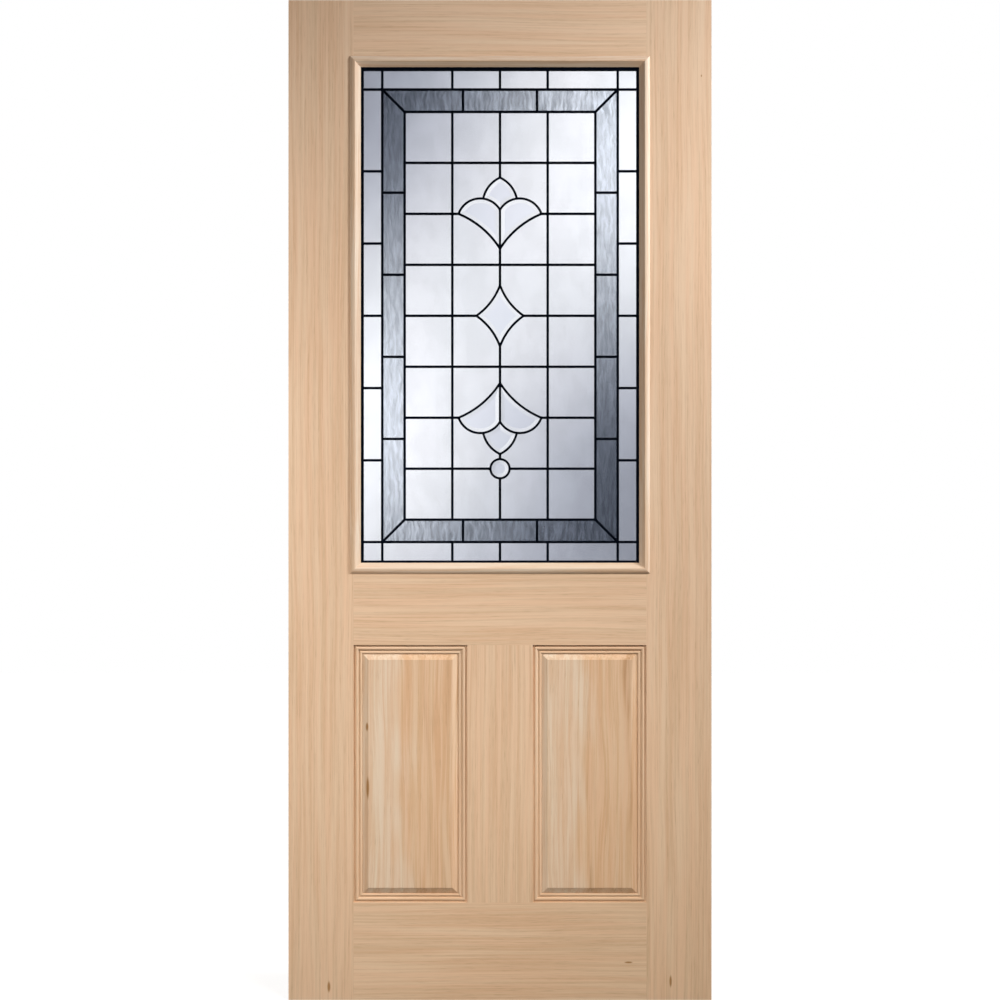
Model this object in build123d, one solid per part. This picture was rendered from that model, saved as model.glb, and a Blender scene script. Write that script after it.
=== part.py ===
"""Glazed exterior door leaf: oak stiles and rails, a leaded light above, two raised panels below.

The leaf stands on its bottom edge. X runs across from the hinge edge, Y through the thickness with the
outside face at the negative side, and Z up. The origin is on the hinge edge, at mid thickness, at the bottom.
Each piece is drawn about the leaf's upright centre line and moved to that origin when it is written.
"""
import math
import os

from build123d import *

# Leaf, overall
door_width = 838.0
door_height = 1981.0
door_thickness = 44.0

# Stiles, rails and muntin
stile_width = 129.0
edge_lipping_width = 8.0
top_rail_height = 118.0
middle_rail_height = 149.0
bottom_rail_height = 193.0
panel_opening_height = 510.0
muntin_width = 130.0

# Stub tenons that join them
tenon_thickness = 14.0
tenon_length = 60.0
muntin_tenon_length = 45.0
tenon_shoulder = 20.0
mortise_side_clearance = 0.15
mortise_end_clearance = 2.0

# Moulded and grooved lipping round each lower panel, the same on both faces
moulding_width = 14.5
moulding_quirk = 2.5
moulding_quirk_flat = 1.0
moulding_ovolo_width = 12.0
moulding_ovolo_drop = 7.0
panel_groove_depth = 8.5

# Raised and fielded panels
panel_field_thickness = 32.0
panel_tongue_thickness = 18.0
panel_foot_width = 3.5
panel_bevel_width = 11.0
panel_groove_clearance = 0.15
panel_edge_clearance = 1.0

# Raised glazing bead on the outside face, and the loose bead inside
bead_lap = 7.0
bead_inset = 14.0
bead_edge_height = 1.2
bead_crown_height = 4.5
bead_crown_start = 1.5
bead_crown_width = 1.5
bead_glass_edge = 2.5
bead_seat_depth = 9.5
inner_bead_flat = 4.0
inner_bead_glass_edge = 4.0

# Sealed unit: two panes with the leaded panel between them
pane_thickness = 4.0
spacer_thickness = 4.0
spacer_width = 7.5
spacer_edge = 1.5
unit_edge_clearance = 4.0
leaded_panel_edge = 2.0
leaded_panel_drop = 1.2

# Lead cames of H section
came_width = 5.0
cluster_came_width = 4.6
came_flange = 1.0
came_heart = 1.4
glass_thickness = 3.8
glass_face_clearance = 0.1
glass_edge_clearance = 0.4

# Leaded pattern: an edge strip, a blue strip and a field of quarries
border_came_show = 5.6
edge_strip_width = 36.6
blue_strip_width = 44.4
field_columns = 4
field_rows = 8
edge_strip_pitch = 143.5
edge_joint_count = 5
blue_side_pitch = 163.0
blue_side_joint_count = 4
blue_end_pitch = 147.0
blue_end_joint_count = 2

# Bevelled clusters of two shells and a pointed tip, upright above and inverted below, and the diamond between
cluster_row = 2
shell_column_gap = 12.5
shell_crown_share = 0.53
shell_crown_height = 30.3
shell_meeting_height = 8.0
shell_row_gap = 32.3
shell_lower_sagitta = 8.3
tip_row_gap = 29.3
tip_foot_share = 0.6
tip_sagitta = 6.4
diamond_row_gap = 40.6
diamond_column_gap = 47.8
diamond_sagitta = 6.0
jewel_row = 3
jewel_ring_radius = 19.0
bevelled_edge_thickness = 3.3
glass_bevel_width = 8.2
glass_bevel_rise = 2.2
bevel_overcut = 1.2

# Levels and sizes that follow from the values above
front_y = -door_thickness / 2
back_y = door_thickness / 2
opening_width = door_width - 2 * stile_width
panel_opening_width = (opening_width - muntin_width) / 2
panel_opening_x = (muntin_width + panel_opening_width) / 2
panel_bottom_z = bottom_rail_height
panel_top_z = panel_bottom_z + panel_opening_height
panel_centre_z = (panel_bottom_z + panel_top_z) / 2
light_bottom_z = panel_top_z + middle_rail_height
light_top_z = door_height - top_rail_height
light_height = light_top_z - light_bottom_z
light_centre_z = (light_bottom_z + light_top_z) / 2
sight_width = opening_width - 2 * bead_inset
sight_height = light_height - 2 * bead_inset

came_height = glass_thickness + 2 * glass_face_clearance + 2 * came_flange
unit_front_y = front_y + bead_seat_depth
leaded_front_y = unit_front_y + pane_thickness + spacer_thickness
leaded_back_y = leaded_front_y + came_height
unit_back_y = leaded_back_y + spacer_thickness + pane_thickness
unit_width = opening_width - 2 * unit_edge_clearance
unit_height = light_height - 2 * unit_edge_clearance
came_lap = (came_width - came_heart) / 2

glass_half_width = sight_width / 2 - border_came_show
glass_half_height = sight_height / 2 - border_came_show
blue_half_width = glass_half_width - edge_strip_width
blue_half_height = glass_half_height - edge_strip_width
field_half_width = blue_half_width - blue_strip_width
field_half_height = blue_half_height - blue_strip_width
column_pitch = 2 * field_half_width / field_columns
row_pitch = 2 * field_half_height / field_rows
cluster_z = cluster_row * row_pitch
shell_reach = column_pitch - shell_column_gap
shell_drop = row_pitch - shell_row_gap
tip_height = row_pitch - tip_row_gap
diamond_half_width = column_pitch - diamond_column_gap
diamond_half_height = row_pitch - diamond_row_gap
jewel_z = -jewel_row * row_pitch


def block(x_range, y_range, z_range):
    """A plain box between the given limits."""
    sizes = [high - low for low, high in (x_range, y_range, z_range)]
    middle = [(low + high) / 2 for low, high in (x_range, y_range, z_range)]
    return Pos(*middle) * Box(*sizes)


def facing_out(y):
    """The upright plane at a depth, facing the outside."""
    return Plane((0, y, 0), x_dir=(1, 0, 0), z_dir=(0, -1, 0))


def slab(outline, front, back):
    """An outline drawn in X and Z, as a plate between two depths."""
    return extrude(facing_out(back) * outline, amount=back - front)


def spaced(count, pitch):
    """Evenly spaced places about zero."""
    return [(index - (count - 1) / 2) * pitch for index in range(count)]


# Joinery of the frame


def rail_tenon(side, z_low, z_high, clearance=0.0, end_clearance=0.0):
    """The tenon at one end of a rail, or its mortise when clearances are given."""
    shoulder_x = side * opening_width / 2
    tip_x = shoulder_x + side * (tenon_length + end_clearance)
    half = tenon_thickness / 2 + clearance
    return block(
        sorted((shoulder_x, tip_x)),
        (-half, half),
        (z_low + tenon_shoulder - clearance, z_high - tenon_shoulder + clearance),
    )


def muntin_tenon(z_shoulder, direction, clearance=0.0, end_clearance=0.0):
    """The tenon at one end of the muntin, or its mortise when clearances are given."""
    tip_z = z_shoulder + direction * (muntin_tenon_length + end_clearance)
    half = tenon_thickness / 2 + clearance
    half_width = muntin_width / 2 - tenon_shoulder + clearance
    return block((-half_width, half_width), (-half, half), sorted((z_shoulder, tip_z)))


rail_levels = {
    "bottom_rail": (0.0, panel_bottom_z),
    "middle_rail": (panel_top_z, light_bottom_z),
    "top_rail": (light_top_z, door_height),
}


def stile(side):
    """A full-height stile with a mortise for each rail."""
    inner_x = side * opening_width / 2
    outer_x = side * (door_width / 2 - edge_lipping_width)
    body = block(sorted((inner_x, outer_x)), (front_y, back_y), (0.0, door_height))
    for z_low, z_high in rail_levels.values():
        body -= rail_tenon(side, z_low, z_high, mortise_side_clearance, mortise_end_clearance)
    return body


def edge_lipping(side):
    """The thin lipping glued along a stile's outer edge."""
    inner_x = side * (door_width / 2 - edge_lipping_width)
    return block(sorted((inner_x, side * door_width / 2)), (front_y, back_y), (0.0, door_height))


def rail(name):
    """A rail with a tenon at each end, mortised where the muntin enters it."""
    z_low, z_high = rail_levels[name]
    body = block((-opening_width / 2, opening_width / 2), (front_y, back_y), (z_low, z_high))
    for side in (-1, 1):
        body += rail_tenon(side, z_low, z_high)
    if name == "bottom_rail":
        body -= muntin_tenon(z_high, -1, mortise_side_clearance, mortise_end_clearance)
    if name == "middle_rail":
        body -= muntin_tenon(z_low, 1, mortise_side_clearance, mortise_end_clearance)
    return body


def muntin():
    """The short upright between the panels, tenoned into the rails above and below."""
    body = block((-muntin_width / 2, muntin_width / 2), (front_y, back_y), (panel_bottom_z, panel_top_z))
    return body + muntin_tenon(panel_bottom_z, -1) + muntin_tenon(panel_top_z, 1)


# Mouldings: a section in depth and distance in from the opening, run along a side and mitred


def mitred_run(section, length, lowest, highest):
    """A straight run of a section along X, cut to 45 degrees at both ends."""
    bar = extrude(Plane.YZ * section, amount=length / 2 - lowest, both=True)
    ends = Polygon(
        (-length / 2 + lowest, lowest),
        (length / 2 - lowest, lowest),
        (length / 2 - highest, highest),
        (-length / 2 + highest, highest),
        align=None,
    )
    return bar & slab(ends, 2 * front_y, 2 * back_y)


def round_opening(section, width, height, centre, lowest, highest):
    """The four mitred runs of a section round an opening, by the side they lie on."""
    centre_x, centre_z = centre
    along = mitred_run(section, width, lowest, highest)
    upright = mitred_run(section, height, lowest, highest)
    return {
        "bottom": Pos(centre_x, 0, centre_z - height / 2) * along,
        "top": Pos(centre_x, 0, centre_z + height / 2) * Rot(0, 180, 0) * along,
        "left": Pos(centre_x - width / 2, 0, centre_z) * Rot(0, 90, 0) * upright,
        "right": Pos(centre_x + width / 2, 0, centre_z) * Rot(0, -90, 0) * upright,
    }


def panel_moulding_section():
    """Quirked ovolo on both faces, with the groove for the panel between them."""
    quirk_y = back_y - moulding_quirk
    ovolo_end = moulding_quirk_flat + moulding_ovolo_width
    ovolo_y = quirk_y - moulding_ovolo_drop
    groove_y = panel_tongue_thickness / 2 + panel_groove_clearance
    groove_u = moulding_width - panel_groove_depth
    ovolo = TangentArc((quirk_y, moulding_quirk_flat), (ovolo_y, ovolo_end), tangent=(0, 1))
    lower_edge = Polyline(
        (ovolo_y, ovolo_end),
        (ovolo_y, moulding_width),
        (groove_y, moulding_width),
        (groove_y, groove_u),
        (0, groove_u),
    )
    upper_edge = Polyline((0, 0), (quirk_y, 0), (quirk_y, moulding_quirk_flat))
    half = make_face(upper_edge + ovolo + lower_edge + Line((0, groove_u), (0, 0)))
    return half + mirror(half, about=Plane.YZ)


def outer_bead_section():
    """Raised bead that laps the frame's face and slopes down to the glass."""
    seat_y = front_y + bead_seat_depth
    crown_y = front_y - bead_crown_height
    slope_end_y = seat_y - bead_glass_edge
    crown_end = bead_crown_start + bead_crown_width
    edge_top = (front_y - bead_edge_height, -bead_lap)
    rounding = TangentArc((crown_y, bead_crown_start), edge_top, tangent=(0, -1))
    outline = Polyline(
        edge_top,
        (front_y, -bead_lap),
        (front_y, 0),
        (seat_y, 0),
        (seat_y, bead_inset),
        (slope_end_y, bead_inset),
        (crown_y, crown_end),
        (crown_y, bead_crown_start),
    )
    return make_face(rounding + outline)


def inner_bead_section():
    """Flush bead with a rounded edge that holds the unit from inside."""
    low_y = unit_back_y + inner_bead_glass_edge
    rounding = TangentArc((back_y, inner_bead_flat), (low_y, bead_inset), tangent=(0, 1))
    outline = Polyline(
        (low_y, bead_inset),
        (unit_back_y, bead_inset),
        (unit_back_y, 0),
        (back_y, 0),
        (back_y, inner_bead_flat),
    )
    return make_face(rounding + outline)


def raised_panel(centre_x):
    """A panel with a tongue all round and a field raised by a bevel on both faces."""
    tongue_inset = moulding_width - panel_groove_depth + panel_edge_clearance
    raised_inset = moulding_width + panel_foot_width
    bevel_depth = (panel_field_thickness - panel_tongue_thickness) / 2
    field = Box(
        panel_opening_width - 2 * raised_inset,
        panel_field_thickness,
        panel_opening_height - 2 * raised_inset,
    )
    for outward in (Axis.Y, -Axis.Y):
        face = field.faces().sort_by(outward)[-1]
        field = chamfer(face.edges(), panel_bevel_width, bevel_depth, reference=face)
    tongue = Box(
        panel_opening_width - 2 * tongue_inset,
        panel_tongue_thickness,
        panel_opening_height - 2 * tongue_inset,
    )
    return Pos(centre_x, 0, panel_centre_z) * (field + tongue)


# Leaded light, drawn about the centre of the glazed opening


def cluster_point(x, z, upright):
    """A point of a bevelled cluster, measured from the row line that it sits on."""
    return (x, upright * (cluster_z + z))


def shell_lines(side, upright):
    """The arched top, the hollow lower edge and the middle line of one shell."""
    meeting = cluster_point(0, shell_meeting_height, upright)
    low_point = cluster_point(0, -shell_drop, upright)
    corner = cluster_point(side * shell_reach, 0, upright)
    crown = cluster_point(side * shell_reach * shell_crown_share, shell_crown_height, upright)
    arch = ThreePointArc(corner, crown, meeting)
    hollow = SagittaArc(low_point, corner, side * upright * shell_lower_sagitta)
    return arch, hollow, Line(meeting, low_point)


def tip_line(side, upright):
    """One side of the pointed tip, from its point to the shell's arch."""
    arch = shell_lines(side, upright)[0]
    point = cluster_point(0, tip_height, upright)
    return SagittaArc(point, arch @ tip_foot_share, side * upright * tip_sagitta)


def diamond_lines():
    """The four hollow sides of the middle diamond."""
    corners = [
        (diamond_half_width, 0),
        (0, diamond_half_height),
        (-diamond_half_width, 0),
        (0, -diamond_half_height),
    ]
    return [SagittaArc(corners[i - 1], corners[i], diamond_sagitta) for i in range(4)]


def cluster_lines():
    """Every curved came of the two clusters and the diamond."""
    lines = diamond_lines()
    for upright in (1, -1):
        lines.append(shell_lines(1, upright)[2])
        for side in (-1, 1):
            lines += shell_lines(side, upright)[:2]
            lines.append(tip_line(side, upright))
    return lines


def across(half_width, z):
    """A level line at a height, to both sides."""
    return Line((-half_width, z), (half_width, z))


def upright_at(x, half_height):
    """An upright line at a place, up and down."""
    return Line((x, -half_height), (x, half_height))


def field_lines():
    """The grid of the field, left open where the bevelled pieces sit."""
    lines = []
    for column in spaced(field_columns - 1, column_pitch):
        if column:
            lines.append(upright_at(column, field_half_height))
    row_openings = {
        cluster_row: shell_reach,
        -cluster_row: shell_reach,
        0: diamond_half_width,
        -jewel_row: jewel_ring_radius,
    }
    for row in range(1 - field_rows // 2, field_rows // 2):
        start = row_openings.get(row, 0.0)
        for side in (-1, 1):
            z = row * row_pitch
            lines.append(Line((side * start, z), (side * field_half_width, z)))
    middle_runs = [
        (field_half_height, cluster_z + tip_height),
        (cluster_z - shell_drop, diamond_half_height),
        (-diamond_half_height, shell_drop - cluster_z),
        (-cluster_z - tip_height, jewel_z + jewel_ring_radius),
        (jewel_z - jewel_ring_radius, -field_half_height),
    ]
    lines += [Line((0, top), (0, bottom)) for top, bottom in middle_runs]
    return lines


def strip_lines():
    """The two rectangles between the strips and the short cames that cross the strips."""
    out_x = glass_half_width + came_lap
    out_z = glass_half_height + came_lap
    lines = []
    for side in (-1, 1):
        lines.append(upright_at(side * field_half_width, field_half_height))
        lines.append(across(field_half_width, side * field_half_height))
        lines.append(upright_at(side * blue_half_width, out_z))
        lines.append(across(out_x, side * blue_half_height))
        for z in spaced(edge_joint_count, edge_strip_pitch):
            lines.append(Line((side * blue_half_width, z), (side * out_x, z)))
        for x in spaced(field_columns - 1, column_pitch):
            lines.append(Line((x, side * blue_half_height), (x, side * out_z)))
        for z in spaced(blue_side_joint_count, blue_side_pitch):
            lines.append(Line((side * field_half_width, z), (side * blue_half_width, z)))
        for x in spaced(blue_end_joint_count, blue_end_pitch):
            lines.append(Line((x, side * field_half_height), (x, side * blue_half_height)))
        for end in (-1, 1):
            inner = (side * field_half_width, end * field_half_height)
            lines.append(Line(inner, (side * blue_half_width, end * blue_half_height)))
    return lines


def came_network(straight_width, curved_width, border_cover):
    """The outline of all cames at the given widths, with the border open past the given cover."""
    strips = [trace(line, straight_width) for line in field_lines() + strip_lines()]
    strips += [trace(line, curved_width) for line in cluster_lines()]
    ring = Circle(jewel_ring_radius + curved_width / 2) - Circle(jewel_ring_radius - curved_width / 2)
    border = Rectangle(unit_width - 2 * leaded_panel_edge, unit_height - 2 * leaded_panel_edge)
    border -= Rectangle(2 * (glass_half_width + border_cover), 2 * (glass_half_height + border_cover))
    return border + strips + Pos(0, jewel_z) * ring


def lead_cames():
    """The whole network: a flange on each face and the heart between them."""
    flanges = came_network(came_width, cluster_came_width, 0.0)
    hearts = came_network(came_heart, came_heart, came_lap)
    front_flange_back = leaded_front_y + came_flange
    back_flange_front = leaded_back_y - came_flange
    body = slab(flanges, leaded_front_y, front_flange_back)
    body += slab(hearts, front_flange_back, back_flange_front)
    return body + slab(flanges, back_flange_front, leaded_back_y)


def shell_outline(side, upright):
    """The area of one shell."""
    arch, hollow, middle = shell_lines(side, upright)
    return make_face(arch + hollow + middle)


def tip_outline(upright):
    """The area of the pointed tip, above both shells."""
    left, right = (tip_line(side, upright) for side in (-1, 1))
    meeting = cluster_point(0, shell_meeting_height, upright)
    area = make_face(left + right + Line(left @ 1, meeting) + Line(meeting, right @ 1))
    return area - shell_outline(-1, upright) - shell_outline(1, upright)


def glass_pieces():
    """Outlines of the cut glass, by the node that holds it."""
    outer = Rectangle(2 * (glass_half_width + came_lap), 2 * (glass_half_height + came_lap))
    blue_edge = Rectangle(2 * blue_half_width, 2 * blue_half_height)
    field = Rectangle(2 * field_half_width, 2 * field_half_height)
    clusters = []
    for upright in (1, -1):
        clusters += [tip_outline(upright), shell_outline(-1, upright), shell_outline(1, upright)]
    single_bevels = [make_face(diamond_lines()), Pos(0, jewel_z) * Circle(jewel_ring_radius)]
    return {
        "edge_strip_glass": outer - blue_edge,
        "blue_border_glass": blue_edge - field,
        "field_quarries": field - clusters - single_bevels,
        "bevelled_clusters": Sketch() + clusters,
        "diamond_and_jewel": Sketch() + single_bevels,
    }


bevelled_nodes = ("bevelled_clusters", "diamond_and_jewel")


def ground_waste(edge, area):
    """The wedge ground off along one edge of a plate that lies in its area's plane, face up."""
    run_out = glass_bevel_width / edge.length
    start = edge @ -run_out
    along = edge % -run_out
    to_left = (edge % 0.5).rotate(Axis.Z, 90) * glass_edge_clearance
    inward = along.rotate(Axis.Z, 90 if area.is_inside(edge @ 0.5 + to_left) else -90)
    high = bevel_overcut * glass_bevel_rise
    wedge = Polygon(
        (-glass_bevel_width, -glass_bevel_rise),
        (bevel_overcut * glass_bevel_width, high),
        (-glass_bevel_width, high),
        align=None,
    )
    section = Plane(start, x_dir=inward, z_dir=inward.cross(Vector(0, 0, 1))) * wedge
    length = edge.length + 2 * glass_bevel_width
    if edge.geom_type == GeomType.LINE:
        return extrude(section, amount=length, dir=along)
    turn = 1 if along.cross(edge.arc_center - start).Z > 0 else -1
    swing = min(360.0, math.degrees(length / edge.radius))
    return revolve(section, axis=Axis(edge.arc_center, (0, 0, turn)), revolution_arc=swing)


def bevelled(outline, back):
    """Plates with a wide bevel ground round the outer face, thin enough at the edge for the cames."""
    plates = []
    for area in outline.faces():
        plate = extrude(area, amount=glass_bevel_rise) + extrude(area, amount=-bevelled_edge_thickness)
        plates += (plate - [ground_waste(edge, area) for edge in area.edges()]).solids()
    return facing_out(back - bevelled_edge_thickness) * Part(plates)


def leaded_glass():
    """All cut glass pieces, each held in the channels of the cames round it."""
    gap_width = came_heart + 2 * glass_edge_clearance
    channels = came_network(gap_width, gap_width, came_lap - glass_edge_clearance)
    glass_front = leaded_front_y + came_flange + glass_face_clearance
    glass_back = glass_front + glass_thickness
    nodes = {}
    for name, outline in glass_pieces().items():
        cut = outline - channels
        if name in bevelled_nodes:
            nodes[name] = bevelled(cut, glass_back)
        else:
            nodes[name] = slab(cut, glass_front, glass_back)
    return nodes


def sealed_unit():
    """Two panes, the spacers at their edges and the leaded panel, which rests low between them."""
    pane = Rectangle(unit_width, unit_height)
    spacer_width_out = unit_width - 2 * spacer_edge
    spacer_height_out = unit_height - 2 * spacer_edge
    spacer = Rectangle(spacer_width_out, spacer_height_out)
    spacer -= Rectangle(spacer_width_out - 2 * spacer_width, spacer_height_out - 2 * spacer_width)
    outer_pane_back = unit_front_y + pane_thickness
    inner_pane_front = unit_back_y - pane_thickness
    nodes = {
        "outer_pane": slab(pane, unit_front_y, outer_pane_back),
        "outer_spacer": slab(spacer, outer_pane_back, leaded_front_y),
        "inner_spacer": slab(spacer, leaded_back_y, inner_pane_front),
        "inner_pane": slab(pane, inner_pane_front, unit_back_y),
    }
    leaded_panel = {"lead_cames": lead_cames(), **leaded_glass()}
    for name, solid in leaded_panel.items():
        nodes[name] = Pos(0, 0, -leaded_panel_drop) * solid
    return {name: Pos(0, 0, light_centre_z) * solid for name, solid in nodes.items()}


def door():
    """Every piece of the leaf by its name, about the upright centre line."""
    nodes = {}
    for name, side in (("left", -1), ("right", 1)):
        nodes[name + "_stile"] = stile(side)
        nodes[name + "_edge_lipping"] = edge_lipping(side)
        centre_x = side * panel_opening_x
        nodes[name + "_panel"] = raised_panel(centre_x)
        mouldings = round_opening(
            panel_moulding_section(),
            panel_opening_width,
            panel_opening_height,
            (centre_x, panel_centre_z),
            0.0,
            moulding_width,
        )
        for place, run in mouldings.items():
            nodes[f"{name}_panel_moulding_{place}"] = run
    for name in rail_levels:
        nodes[name] = rail(name)
    nodes["muntin"] = muntin()
    light = (opening_width, light_height, (0.0, light_centre_z))
    for place, run in round_opening(outer_bead_section(), *light, -bead_lap, bead_inset).items():
        nodes["outer_bead_" + place] = run
    for place, run in round_opening(inner_bead_section(), *light, 0.0, bead_inset).items():
        nodes["inner_bead_" + place] = run
    nodes.update(sealed_unit())
    return nodes


os.makedirs("parts", exist_ok=True)
for node_name, node in door().items():
    export_step(Pos(door_width / 2, 0, 0) * node, f"parts/{node_name}.step")
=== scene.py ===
"""Glazed exterior door: finishes of the oak, lead and glass, and the plain studio the leaf stands in."""
import math

import bmesh
import bpy
from bpy.props import FloatProperty, FloatVectorProperty, PointerProperty
from mathutils import Matrix, Vector


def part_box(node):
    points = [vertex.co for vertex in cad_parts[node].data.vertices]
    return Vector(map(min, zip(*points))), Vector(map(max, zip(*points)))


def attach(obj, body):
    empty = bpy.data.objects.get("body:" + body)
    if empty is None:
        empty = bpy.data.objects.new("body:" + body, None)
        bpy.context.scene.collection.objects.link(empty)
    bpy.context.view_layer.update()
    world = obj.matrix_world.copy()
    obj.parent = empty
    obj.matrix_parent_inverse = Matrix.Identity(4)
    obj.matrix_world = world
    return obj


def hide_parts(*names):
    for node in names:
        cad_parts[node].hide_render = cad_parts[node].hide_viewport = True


bl_info = {
    "name": "Glazed Exterior Door",
    "version": (1, 0, 0),
    "blender": (4, 5, 0),
    "location": "View3D > Sidebar > Door",
    "description": "Finishes an oak door leaf with a leaded light and sets it in a plain studio",
    "category": "Object",
}

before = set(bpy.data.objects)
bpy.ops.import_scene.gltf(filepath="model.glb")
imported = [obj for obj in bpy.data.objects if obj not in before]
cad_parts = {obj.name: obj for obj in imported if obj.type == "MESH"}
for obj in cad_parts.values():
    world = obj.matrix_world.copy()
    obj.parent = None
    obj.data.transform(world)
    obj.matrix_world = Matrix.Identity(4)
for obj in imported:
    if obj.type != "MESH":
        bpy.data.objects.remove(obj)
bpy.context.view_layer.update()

# Places on the leaf, in metres, read from the frame
leaf_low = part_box("left_edge_lipping")[0]
leaf_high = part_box("right_edge_lipping")[1]
leaf_centre = (leaf_low + leaf_high) / 2
leaf_height = leaf_high.z - leaf_low.z
face_y = leaf_low.y
light_low, light_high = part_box("lead_cames")
light_centre = (light_low + light_high) / 2

SIDES = ("left", "right")
PLACES = ("bottom", "right", "top", "left")
LEVEL_PLACES = ("bottom", "top")
STARTUP_OBJECTS = ("Camera", "Cube", "Light")

# Edges past this angle stay sharp, and a face past this cosine faces straight out
SHARP_ANGLE = math.radians(19.0)
FLAT_ON = 0.99

# Points nearer than this are one point, and faces nearer than this lie on one level
MERGE_GAP = 1e-6
LEVEL_GAP = 1e-5


# Sizes and colours that a user would change


def colour_property(name, description, default):
    """A colour with the usual limits."""
    return FloatVectorProperty(
        name=name, description=description, default=default, subtype="COLOR", size=3, min=0.0, max=1.0
    )


def length_property(name, description, default):
    """A length in metres."""
    return FloatProperty(
        name=name, description=description, default=default, subtype="DISTANCE", unit="LENGTH", min=0.0
    )


def share_property(name, description, default):
    """A share between nothing and all."""
    return FloatProperty(
        name=name, description=description, default=default, subtype="FACTOR", min=0.0, max=1.0
    )


def power_property(name, description, default):
    """The power of a lamp."""
    return FloatProperty(name=name, description=description, default=default, unit="POWER", min=0.0)


def beam_property(name, description, degrees):
    """The width of a beam, as an angle."""
    turn = math.radians(degrees)
    return FloatProperty(name=name, description=description, default=turn, subtype="ANGLE")


def strength_property(name, description, default):
    """The strength of a glow, where one is white."""
    return FloatProperty(name=name, description=description, default=default, min=0.0)


class DoorOakSettings(bpy.types.PropertyGroup):
    """Colours and grain of the oak."""

    pale: colour_property("Pale grain", "Colour of the palest streaks", (0.79, 0.585, 0.42))
    dark: colour_property("Dark grain", "Colour of the darkest streaks", (0.689, 0.485, 0.325))
    blush: colour_property("Blush", "Tinge of the pinker parts of the grain", (1.0, 0.95, 0.925))
    bead: colour_property("Bead grain", "Colour of the palest streaks in the beads", (0.78, 0.645, 0.515))
    tan: colour_property("Tan board", "Colour of the darker board in each panel", (0.67, 0.44, 0.27))
    heart: colour_property("Heartwood", "Colour of the brown streaks", (0.46, 0.26, 0.13))
    pore: colour_property("Pores", "Colour of the open pores", (0.42, 0.27, 0.16))
    knot: colour_property("Knots", "Colour of the small knots and dark flecks", (0.4, 0.22, 0.095))
    streak_width: length_property("Streak width", "Width of one streak of the grain", 0.003)
    streak_length: length_property("Streak length", "Length of one streak of the grain", 0.24)
    pore_width: length_property("Pore width", "Width of one row of pores", 0.0009)
    pore_length: length_property("Pore length", "Length of one row of pores", 0.03)
    pore_depth: length_property("Pore depth", "How deep the pores are", 0.00008)
    roughness: share_property("Roughness", "How matt the bare oak is", 0.6)
    bead_roughness: share_property("Bead roughness", "How matt the glazing beads are", 0.55)


class DoorJoinerySettings(bpy.types.PropertyGroup):
    """Section of the panel mouldings and panels, as widths and as depths below the face."""

    quirk: length_property("Quirk", "Width of the sunk line outside the beads", 0.003)
    quirk_depth: length_property("Quirk depth", "Depth of the sunk line", 0.0045)
    bead: length_property("Bead", "Width of the outer bead", 0.0068)
    bead_rise: length_property("Bead rise", "How far the outer bead stands out of the sunk line", 0.0026)
    hollow: length_property("Hollow", "Width of the sunk line between the beads", 0.0024)
    hollow_depth: length_property("Hollow depth", "Depth of the sunk line between the beads", 0.0058)
    small_bead: length_property("Small bead", "Width of the inner bead", 0.0048)
    small_bead_rise: length_property("Small bead rise", "How far the inner bead stands out of it", 0.0016)
    moulding: length_property("Moulding", "Width from the opening to the panel", 0.0178)
    clearance: length_property("Clearance", "Gap between panel and moulding", 0.0002)
    bevel: length_property("Bevel", "Width of the bevel of a panel", 0.0112)
    foot_depth: length_property("Bevel foot", "Depth of the foot of the bevel", 0.0068)
    field_depth: length_property("Field", "Depth of the middle of a panel", 0.0012)
    groove_start: length_property("Groove", "From the opening to the bottom of the groove", 0.006)
    groove_depth: length_property("Groove depth", "Depth of the side of the groove", 0.01285)


class DoorGlassSettings(bpy.types.PropertyGroup):
    """Colours and texture of the leaded glass."""

    obscure: colour_property("Obscure glass", "Tint of quarries and edge strip", (0.93, 0.935, 0.98))
    # The blue glass runs from deep to pale with the painted light of the glows behind it
    blue_deep: colour_property("Blue glass, deep", "Tint where the glass is darkest", (0.205, 0.225, 0.262))
    blue_pale: colour_property("Blue glass, pale", "Tint where the glass is palest", (0.665, 0.70, 0.775))
    clear: colour_property("Clear glass", "Tint of the flats of the bevelled pieces", (0.865, 0.88, 0.955))
    # The slope colour is a painted highlight on the bevels, whiter than the flats
    slope_highlight: colour_property("Ground glass", "Tint of the slopes of the bevelled pieces", (0.99, 0.99, 1.0))
    grain_size: length_property("Grain of obscure glass", "Size of the stipple", 0.0016)
    wisp_width: length_property("Wisp width", "Width of one wisp in the blue glass", 0.0058)
    wisp_contrast: share_property("Wisp contrast", "How much paler or darker a wisp is", 0.32)
    wisp_length: length_property("Wisp length", "Length of one wisp in the blue glass", 0.035)
    obscure_roughness: share_property("Obscure roughness", "How much the obscure glass scatters", 0.16)


class DoorLeadSettings(bpy.types.PropertyGroup):
    """Shape and colour of the lead cames."""

    colour: colour_property("Lead", "Colour of the blackened lead", (0.0022, 0.0045, 0.0125))
    shoulder: length_property("Shoulder", "Width of the rounded shoulder of a came", 0.001)
    crown: length_property("Crown", "How far the middle of a came stands out", 0.0004)


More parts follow.
